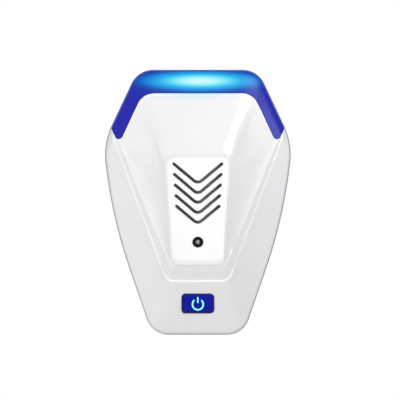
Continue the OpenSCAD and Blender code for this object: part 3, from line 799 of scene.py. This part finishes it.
# _V is a place up the front, _H a height off the wall, _R a radius
SPEAKER_V = -1.0
SENSOR_V = -20.8
SLOT_W = 1.2
BUTTON_W, BUTTON_LEN, BUTTON_GAP = 12.4, 7.4, 0.2
FLANGE_REACH = 1.3
POCKET_W = BUTTON_W + 2 * (FLANGE_REACH + BUTTON_GAP)
POCKET_LEN = BUTTON_LEN + 2 * (FLANGE_REACH + BUTTON_GAP)
POCKET_WALL = 1.15
GUIDE_ROUND, POCKET_ROUND, BUTTON_ROUND, LABEL_ROUND = 2.4, 1.4, 1.2, 1.4
GUIDE_FOOT_H, GUIDE_TOP_H = 15.4, 20.9
BUTTON_SLOPE = math.tan(math.radians(23.3))
BUTTON_H = 27.9
BUTTON_PROUD = 0.75  # above the cover round it
BUTTON_WALL, BUTTON_TOP = 1.3, 2.2
BUTTON_FOOT_R, BUTTON_FOOT_H = 1.6, 16.2
CROWN_DROP, CROWN_IN = 0.8, 0.85
MARK_DEPTH = 0.9
FLANGE_H = 19.8
BOSSES = [(27, 7), (-27, 7), (13.6, -51.4), (-13.6, -51.4)]
BOSS_R, BOSS_FOOT_H, PILOT_R = 3.2, 9.2, 1.0
POST_R, POST_TOP_H, SCREW_HOLE_R = 3.6, 9.05, 1.6
REAR_FLOOR_H, REAR_ROUND_IN, REAR_ROUND_H = 2.2, 1.5, 1.8
COLLAR_R, COLLAR_BORE_R, COLLAR_FOOT_H = 14.2, 12.2, 20
SENSOR_BOSS_R, SENSOR_BOSS_FOOT_H, SENSOR_HOLE_R, LENS_DOME_R = 3, 28.4, 1.85, 1.12
TRIM_INTO_SKIN, TRIM_BELOW = 0.9, -3.0
PIN_PITCH, PIN_LEN, SLEEVE_LEN = 19.0, 19.0, 10.0
LABEL_W, LABEL_LEN, LABEL_V, LABEL_DEPTH = 32.6, 20.6, -30, 0.35
SLOT_BEND, SLOT_FLARE = 2.4, 0.14
SLOT_BOTTOMS = (3, -1.1, -5, -9, -12.9)


def band_prism(name, grow=0.0):
    """Block over the light bar's place, which splits the front into bar and cover."""
    points = inset(outline(BAND, steps=10, between=0), -grow)
    return prism(name, points, PARTING_H - 4, FACE_H + 6)


def stroke_outline(path, width):
    """Outline of a line of even width with round ends."""
    left, right = [], []
    for i, p in enumerate(path):
        a, b = path[max(i - 1, 0)], path[min(i + 1, len(path) - 1)]
        along = toward(a, b)
        left.append((p[0] - along[1] * width / 2, p[1] + along[0] * width / 2))
        right.append((p[0] + along[1] * width / 2, p[1] - along[0] * width / 2))

    def cap(end, a, b):
        facing = math.atan2(b[1] - a[1], b[0] - a[0])
        turns = [facing + math.radians(t) for t in range(-75, 90, 15)]
        return [(end[0] + width / 2 * math.cos(t), end[1] + width / 2 * math.sin(t)) for t in turns]

    return right + cap(path[-1], path[-2], path[-1]) + left[::-1] + cap(path[0], path[1], path[0])


def slot_paths():
    """Centre lines of the V-shaped sound slots, lowest last."""
    paths = []
    for i, bottom in enumerate(SLOT_BOTTOMS):
        top, half = 10.2 - 4.2 * i, 9.5 - 0.28 * i
        lean = math.atan2(top - bottom + 0.7, half)
        point = (0.0, bottom - SLOT_BEND / math.cos(lean) + SLOT_BEND)
        arc = rounding((-half, top), point, (half, top), SLOT_BEND * math.tan(lean), 12)
        paths.append([(-half, top)] + arc + [(half, top)])
    return paths


def flared_cut(name, points, low, high, flare, slope=0.0, slope_v=0.0):
    """Cutter that flares just under the surface at high, so its opening has a small chamfer."""

    def tilted(ring, h):
        return [(x, v, h + (v - slope_v) * slope) for x, v in ring]

    return solid_of_rings(name, [
        tilted(points, low),
        tilted(points, high - flare),
        tilted(inset(points, -flare), high),
        tilted(inset(points, -flare), high + 1.5),
    ])


def front_inner_features():
    """Speaker collar, screw bosses, button guide and sensor boss, trimmed to the shell's inside."""
    first, *others = hollow_rings()
    trim = [[(x, v, h + TRIM_BELOW) for x, v, h in first]]
    trim += [[(x, v, h + TRIM_INTO_SKIN) for x, v, h in ring] for ring in others]
    inside = solid_of_rings("trim", trim)
    parts = [prism("boss", circle(x, v, BOSS_R), BOSS_FOOT_H, FACE_H) for x, v in BOSSES]
    parts.append(prism("collar", circle(0, SPEAKER_V, COLLAR_R), COLLAR_FOOT_H, FACE_H))
    guide_w, guide_len = POCKET_W + 2 * POCKET_WALL, POCKET_LEN + 2 * POCKET_WALL
    guide = rounded_box(guide_w, guide_len, GUIDE_ROUND, 0, BUTTON_V)
    parts.append(prism("guide", guide, GUIDE_FOOT_H, FACE_H))
    parts.append(prism("sensor_boss", circle(0, SENSOR_V, SENSOR_BOSS_R), SENSOR_BOSS_FOOT_H, FACE_H))
    whole = parts[0]
    combine(whole, parts[1:], "UNION")
    return combine(whole, [inside], "INTERSECT")


def front_pieces():
    """Light bar and front cover, from the same outside and hollow."""
    shell = shell_of_rings("front_shell", skin_rings(), hollow_rings())
    bar = shell_of_rings("night_light_bar", skin_rings(ledges=False), hollow_rings())
    combine(bar, [band_prism("band")], "INTERSECT")
    clean(bar)
    smooth(soften(bar, 0.3, 4, 50))
    piece(bar, "body", light_bar_material(), "blue_diffuser", "light_bar")

    combine(shell, [front_inner_features()], "UNION")
    cuts = [band_prism("band", SEAM)]
    cuts.append(prism("collar_bore", circle(0, SPEAKER_V, COLLAR_BORE_R), 18, FACE_H - SKIN - 0.02))
    pocket = rounded_box(POCKET_W, POCKET_LEN, POCKET_ROUND, 0, BUTTON_V)
    cuts.append(prism("guide_bore", pocket, 14, GUIDE_TOP_H))
    open_w, open_len = BUTTON_W + 2 * BUTTON_GAP, BUTTON_LEN + 2 * BUTTON_GAP
    opening = rounded_box(open_w, open_len, POCKET_ROUND, 0, BUTTON_V)
    surface = BUTTON_H - BUTTON_PROUD
    cuts.append(flared_cut("opening", opening, 18, surface, 0.2, BUTTON_SLOPE, BUTTON_V))
    cuts.append(flared_cut("eye", circle(0, SENSOR_V, SENSOR_HOLE_R), 20, FACE_H, 0.15))
    for path in slot_paths():
        cuts.append(flared_cut("slot", stroke_outline(path, SLOT_W), FACE_H - 3.2, FACE_H, SLOT_FLARE))
    cuts += [prism("pilot", circle(x, v, PILOT_R, 24), 8, 20) for x, v in BOSSES]
    combine(shell, cuts, "DIFFERENCE")
    clean(shell)
    smooth(soften(shell, 0.12, 2, 50))
    piece(shell, "body", shell_material(), "white_shell", "front_cover")


def rear_piece():
    """Rear cover with its screw posts, pin holes and label recess."""
    top = PARTING_H - SEAM
    back = level(inset(edge, REAR_ROUND_IN), 0)
    bend = level(inset(edge, 0.06), 0.1)
    side = level(edge, REAR_ROUND_H)
    rim_low = level(edge, top - 0.25)
    rim_top = level(inset(edge, 0.22), top)
    outside = [level(inset(edge, d), 0) for d in (4.5, 3.0, 2.0)]
    outside += bezier(back, bend, side, 6) + spaced(side, rim_low, 4) + [rim_low, rim_top]
    cavity = [level(inset(edge, COVER_WALL), h) for h in (top, REAR_FLOOR_H)]
    cover = shell_of_rings("back_shell", outside[::-1], cavity)
    posts = [prism("post", circle(x, v, POST_R), 1, POST_TOP_H) for x, v in BOSSES]
    combine(cover, posts, "UNION")
    cuts = []
    recess = [(3.3, -1), (3.3, 0), (2.9, 0.4), (2.9, 6)]
    pin_hole = [(2.5, -1), (2.5, 0), (2.2, 0.3), (2.2, 3)]
    for x, v in BOSSES:
        cuts.append(lathe("recess", x, v, recess, 48))
        cuts.append(prism("screw_hole", circle(x, v, SCREW_HOLE_R, 32), 5, 10))
    for way in (-1, 1):
        cuts.append(lathe("pin_hole", way * PIN_PITCH / 2, 0, pin_hole, 48))
    label = rounded_box(LABEL_W, LABEL_LEN, LABEL_ROUND, 0, LABEL_V)
    cuts.append(prism("label_recess", label, -1, LABEL_DEPTH))
    combine(cover, cuts, "DIFFERENCE")
    clean(cover)
    smooth(soften(cover, 0.1, 2, 50))
    violet_grey = moulded("violet_grey_shell", (0.33, 0.31, 0.50), 0.4, 0.3)
    piece(cover, "body", violet_grey, "violet_grey_shell", "rear_cover")


def sloped(points, h):
    """Ring parallel to the button's sloping face, h above the plane through its middle."""
    return [(x, v, BUTTON_H + h + (v - BUTTON_V) * BUTTON_SLOPE) for x, v in points]


def power_mark_outlines():
    """Outlines of the mark's open ring and of its bar."""
    gap = math.degrees(math.asin((MARK_GAP + MARK_STROKE / 2) / MARK_R))
    arc = [
        (MARK_R * math.cos(math.radians(t)), MARK_V + MARK_R * math.sin(math.radians(t)))
        for t in [90 + gap + k * (360 - 2 * gap) / 40 for k in range(41)]
    ]
    low, high = MARK_BAR[0] + MARK_STROKE / 2, MARK_BAR[1] - MARK_STROKE / 2
    bar = [(0.0, MARK_V + low), (0.0, MARK_V + (low + high) / 2), (0.0, MARK_V + high)]
    return [stroke_outline(arc, MARK_STROKE), stroke_outline(bar, MARK_STROKE)]


def button_pieces():
    """Push button with its flange and foot, and the lit mark set into its face."""

    def sized(grow, corner):
        return rounded_box(BUTTON_W + 2 * grow, BUTTON_LEN + 2 * grow, corner, 0, BUTTON_V, 10)

    body, skirt = sized(0, BUTTON_ROUND), sized(FLANGE_REACH, BUTTON_ROUND)
    side_top = sloped(body, -CROWN_DROP)
    crown = sloped(inset(body, 0.05), 0.02)
    face_edge = sloped(inset(body, CROWN_IN), 0.0)
    rings = [level(skirt, FLANGE_H), level(skirt, FLANGE_H + 1), level(body, FLANGE_H + 1)]
    rings += bezier(side_top, crown, face_edge, 5)
    hollow = sized(-BUTTON_WALL, 0.5)
    button = shell_of_rings("push_button", rings, [level(hollow, FLANGE_H), sloped(hollow, -BUTTON_TOP)])
    foot = prism("foot", circle(0, BUTTON_V, BUTTON_FOOT_R), BUTTON_FOOT_H, BUTTON_H - 1.4)
    combine(button, [foot], "UNION")
    marks = power_mark_outlines()
    cuts = [solid_of_rings("mark_cut", [sloped(m, -0.95), sloped(m, 0.5)]) for m in marks]
    combine(button, cuts, "DIFFERENCE")
    clean(button)
    smooth(soften(button, 0.05, 2, 50))
    piece(button, "button", button_material(), "blue_button", "power_button")

    halves = []
    for m in marks:
        side, top = inset(m, 0.04), inset(m, 0.12)
        rings = [sloped(side, -MARK_DEPTH), sloped(side, -0.1), sloped(top, -0.03)]
        halves.append(solid_of_rings("mark_half", rings))
    mark = joined("power_mark", halves)
    smooth(mark)
    piece(mark, "button", mark_material(), "lit_symbol", "button_symbol")


def joined(name, objects):
    """One object from several, their meshes kept as they are."""
    bm = bmesh.new()
    for o in objects:
        bm.from_mesh(o.data)
        bpy.data.objects.remove(o, do_unlink=True)
    return mesh_object(name, bm)


def sensor_pieces():
    """Black ring in the flat face and the domed lens inside it."""
    bezel = ring_lathe("sensor_ring", 0, SENSOR_V, [
        (1.5, FACE_H - 3.2), (1.75, FACE_H - 3.2), (1.75, FACE_H), (2.12, FACE_H),
        (2.15, FACE_H + 0.1), (2.08, FACE_H + 0.26), (1.9, FACE_H + 0.34), (1.6, FACE_H + 0.34),
        (1.36, FACE_H + 0.2), (1.24, FACE_H - 0.05), (1.2, FACE_H - 0.7), (1.5, FACE_H - 0.8),
    ])
    smooth(bezel, 50)
    black = moulded("black_bezel", (0.006, 0.006, 0.0065), 0.3, 0.1, specular=0.12)
    piece(bezel, "body", black, "black_plastic", "sensor_bezel")
    dome = [(1.4, 27), (1.4, FACE_H - 1.1), (LENS_DOME_R, FACE_H - 1.05)]
    for degrees in range(0, 90, 15):
        t = math.radians(degrees)
        dome.append((LENS_DOME_R * math.cos(t), FACE_H - 0.75 + 0.6 * math.sin(t)))
    lens = lathe("sensor_lens", 0, SENSOR_V, dome, 48)
    smooth(lens, 50)
    piece(lens, "body", lens_material(), "grey_lens", "light_sensor")


def plug_pieces():
    """The two plug pins with their heads inside the cover, and the sleeves on their roots."""

    def both(name, turned, profile, material, slot, node):
        halves = [turned("half", way * PIN_PITCH / 2, 0, profile) for way in (-1, 1)]
        o = joined(name, halves)
        smooth(o, 45)
        piece(o, "body", material, slot, node)

    pin = [
        (0.12, -PIN_LEN), (0.95, -PIN_LEN), (1.14, -18.92), (1.3, -18.7), (1.86, -17.75), (1.96, -17.5),
        (2.0, -17.2), (2.0, -10.25), (1.8, -SLEEVE_LEN), (1.4, -SLEEVE_LEN), (1.4, 7.5), (2.7, 7.5),
        (2.7, 8.55), (2.5, 8.7),
    ]
    sleeve = [(1.45, -9.95), (1.63, -9.95), (1.75, -9.8), (1.75, 7.4), (1.45, 7.4)]
    nickel = metal("nickel", (0.72, 0.71, 0.68), 0.22)
    black = moulded("pin_sleeve", (0.02, 0.02, 0.021), 0.45, 0.3)
    both("pins", lathe, pin, nickel, "nickel", "plug_pins")
    both("sleeves", ring_lathe, sleeve, black, "black_plastic", "pin_sleeves")


# ---------------------------------------------------------------- pieces carried over from the CAD


def carried_materials():
    """Material for each slot of the record that a carried-over CAD node has."""
    return {
        "black_plastic": moulded("black_plastic", (0.018, 0.018, 0.02), 0.45, 0.35),
        "grey_plastic": moulded("grey_plastic", (0.17, 0.17, 0.18), 0.45, 0.35),
        "black_foam": moulded("black_foam", (0.03, 0.03, 0.03), 0.9, 1.0, 0.3, 0.3),
        "dark_cloth": cloth("dark_cloth", (0.21, 0.21, 0.215)),
        "pale_cone": moulded("pale_cone", (0.66, 0.65, 0.62), 0.85, 0.8, 0.25, 0.1),
        "brass_plate": metal("brass_plate", (0.74, 0.56, 0.26), 0.3),
        "bright_steel": metal("bright_steel", (0.62, 0.62, 0.64), 0.32, (1, 12, 1)),
        "green_board": board_material("green_board", (0.02, 0.17, 0.07)),
        "white_board": board_material("white_board", (0.75, 0.75, 0.73)),
        "led_clear": moulded("led_clear", (0.62, 0.85, 0.9), 0.12, 0.05, 0.3, 0.05, 0.5),
        "led_yellow": moulded("led_yellow", (0.88, 0.78, 0.36), 0.25, 0.1),
        "yellow_case": moulded("yellow_case", (0.72, 0.50, 0.04), 0.4, 0.3),
        "navy_sleeve": moulded("navy_sleeve", (0.02, 0.035, 0.13), 0.25, 0.15),
        "black_sleeve": moulded("black_sleeve", (0.02, 0.02, 0.025), 0.25, 0.15),
        "ferrite": moulded("ferrite", (0.07, 0.07, 0.08), 0.6, 0.8, 0.2, 0.2),
        "copper_wire": metal("copper_wire", (0.75, 0.33, 0.12), 0.35, (1, 14, 1), 0.8),
        "tape_yellow": moulded("tape_yellow", (0.75, 0.52, 0.06), 0.3, 0.3),
        "blue_ceramic": moulded("blue_ceramic", (0.05, 0.15, 0.42), 0.3, 0.4, 0.6, 0.12, 0.4),
        "green_ceramic": moulded("green_ceramic", (0.22, 0.38, 0.34), 0.35, 0.4, 0.6, 0.12, 0.3),
        "tan_ceramic": moulded("tan_ceramic", (0.58, 0.40, 0.20), 0.35, 0.4, 0.6, 0.12, 0.3),
        "brown_ceramic": moulded("brown_ceramic", (0.46, 0.20, 0.05), 0.35, 0.4, 0.6, 0.12, 0.3),
        "ivory_plastic": moulded("ivory_plastic", (0.74, 0.71, 0.60), 0.5, 0.35),
        "brown_wire": moulded("brown_wire", (0.20, 0.07, 0.025), 0.4, 0.3),
        "blue_wire": moulded("blue_wire", (0.04, 0.15, 0.48), 0.4, 0.3),
        "red_wire": moulded("red_wire", (0.52, 0.025, 0.02), 0.4, 0.3),
        "white_wire": moulded("white_wire", (0.72, 0.72, 0.72), 0.4, 0.3),
        "label_film": moulded("label_film", (0.62, 0.62, 0.64), 0.35, 0.15, 0.5, 0.03),
    }


WIRES = {"live_wire", "neutral_wire", "speaker_wires", "light_wires", "fuse_leads"}
WELD_DISTANCE = 0.002
MAX_ROUND, ROUND_SHARE = 0.15, 0.08


def dress_carried():
    """Material and small edge rounding for every CAD node that is still shown."""
    slots = {s["node"]: s["material_slot"] for s in frame["record"]["subparts"]}
    materials = carried_materials()
    for name, o in frame["nodes"].items():
        if o.hide_render:
            continue
        o.data.materials.clear()
        o.data.materials.append(materials[slots[name]])
        weld = o.modifiers.new("weld", "WELD")
        weld.merge_threshold = WELD_DISTANCE * MM
        low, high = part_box(name)
        thinnest = min(high - low) / MM
        if name not in WIRES:
            soften(o, min(MAX_ROUND, thinnest * ROUND_SHARE), 2, 35)


FLOOR_RADIUS, FLOOR_PLACE = 0.42, (0, -0.02, -0.105)


def floor():
    """Plain pale disc, in metres, below the object."""
    bpy.ops.mesh.primitive_circle_add(
        vertices=96, radius=FLOOR_RADIUS, fill_type="NGON", location=FLOOR_PLACE
    )
    ground = bpy.context.object
    ground.name = "floor"
    g = Graph("floor")
    ground.data.materials.append(g.set(
        Base_Color=g.ramp(g.noise(40.0, 2.0), [(0.3, (0.86, 0.86, 0.86)), (0.7, (0.88, 0.88, 0.88))]),
        Roughness=0.8,
    ))


def lights():
    """Softboxes: two for the reflections, two for the even light on the surfaces."""
    world(1.0, 0.303)
    aim = (0, -5, 20)
    area_light("front", (0, 60, 1700), aim, 500, 2.15, diffuse=False)
    area_light("left", (-900, 60, 600), aim, 400, 5.95, gloss=False)
    area_light("upper_right", (250, 260, 330), aim, 160, 1.34, gloss=False)
    area_light("crease", (400, 560, 1000), aim, 560, 3.9, size_y=320, diffuse=False)
    view = bpy.context.scene.view_settings
    view.view_transform = "Standard"
    view.look = "None"


camera()
floor()
lights()
front_pieces()
rear_piece()
button_pieces()
sensor_pieces()
plug_pieces()
dress_carried()
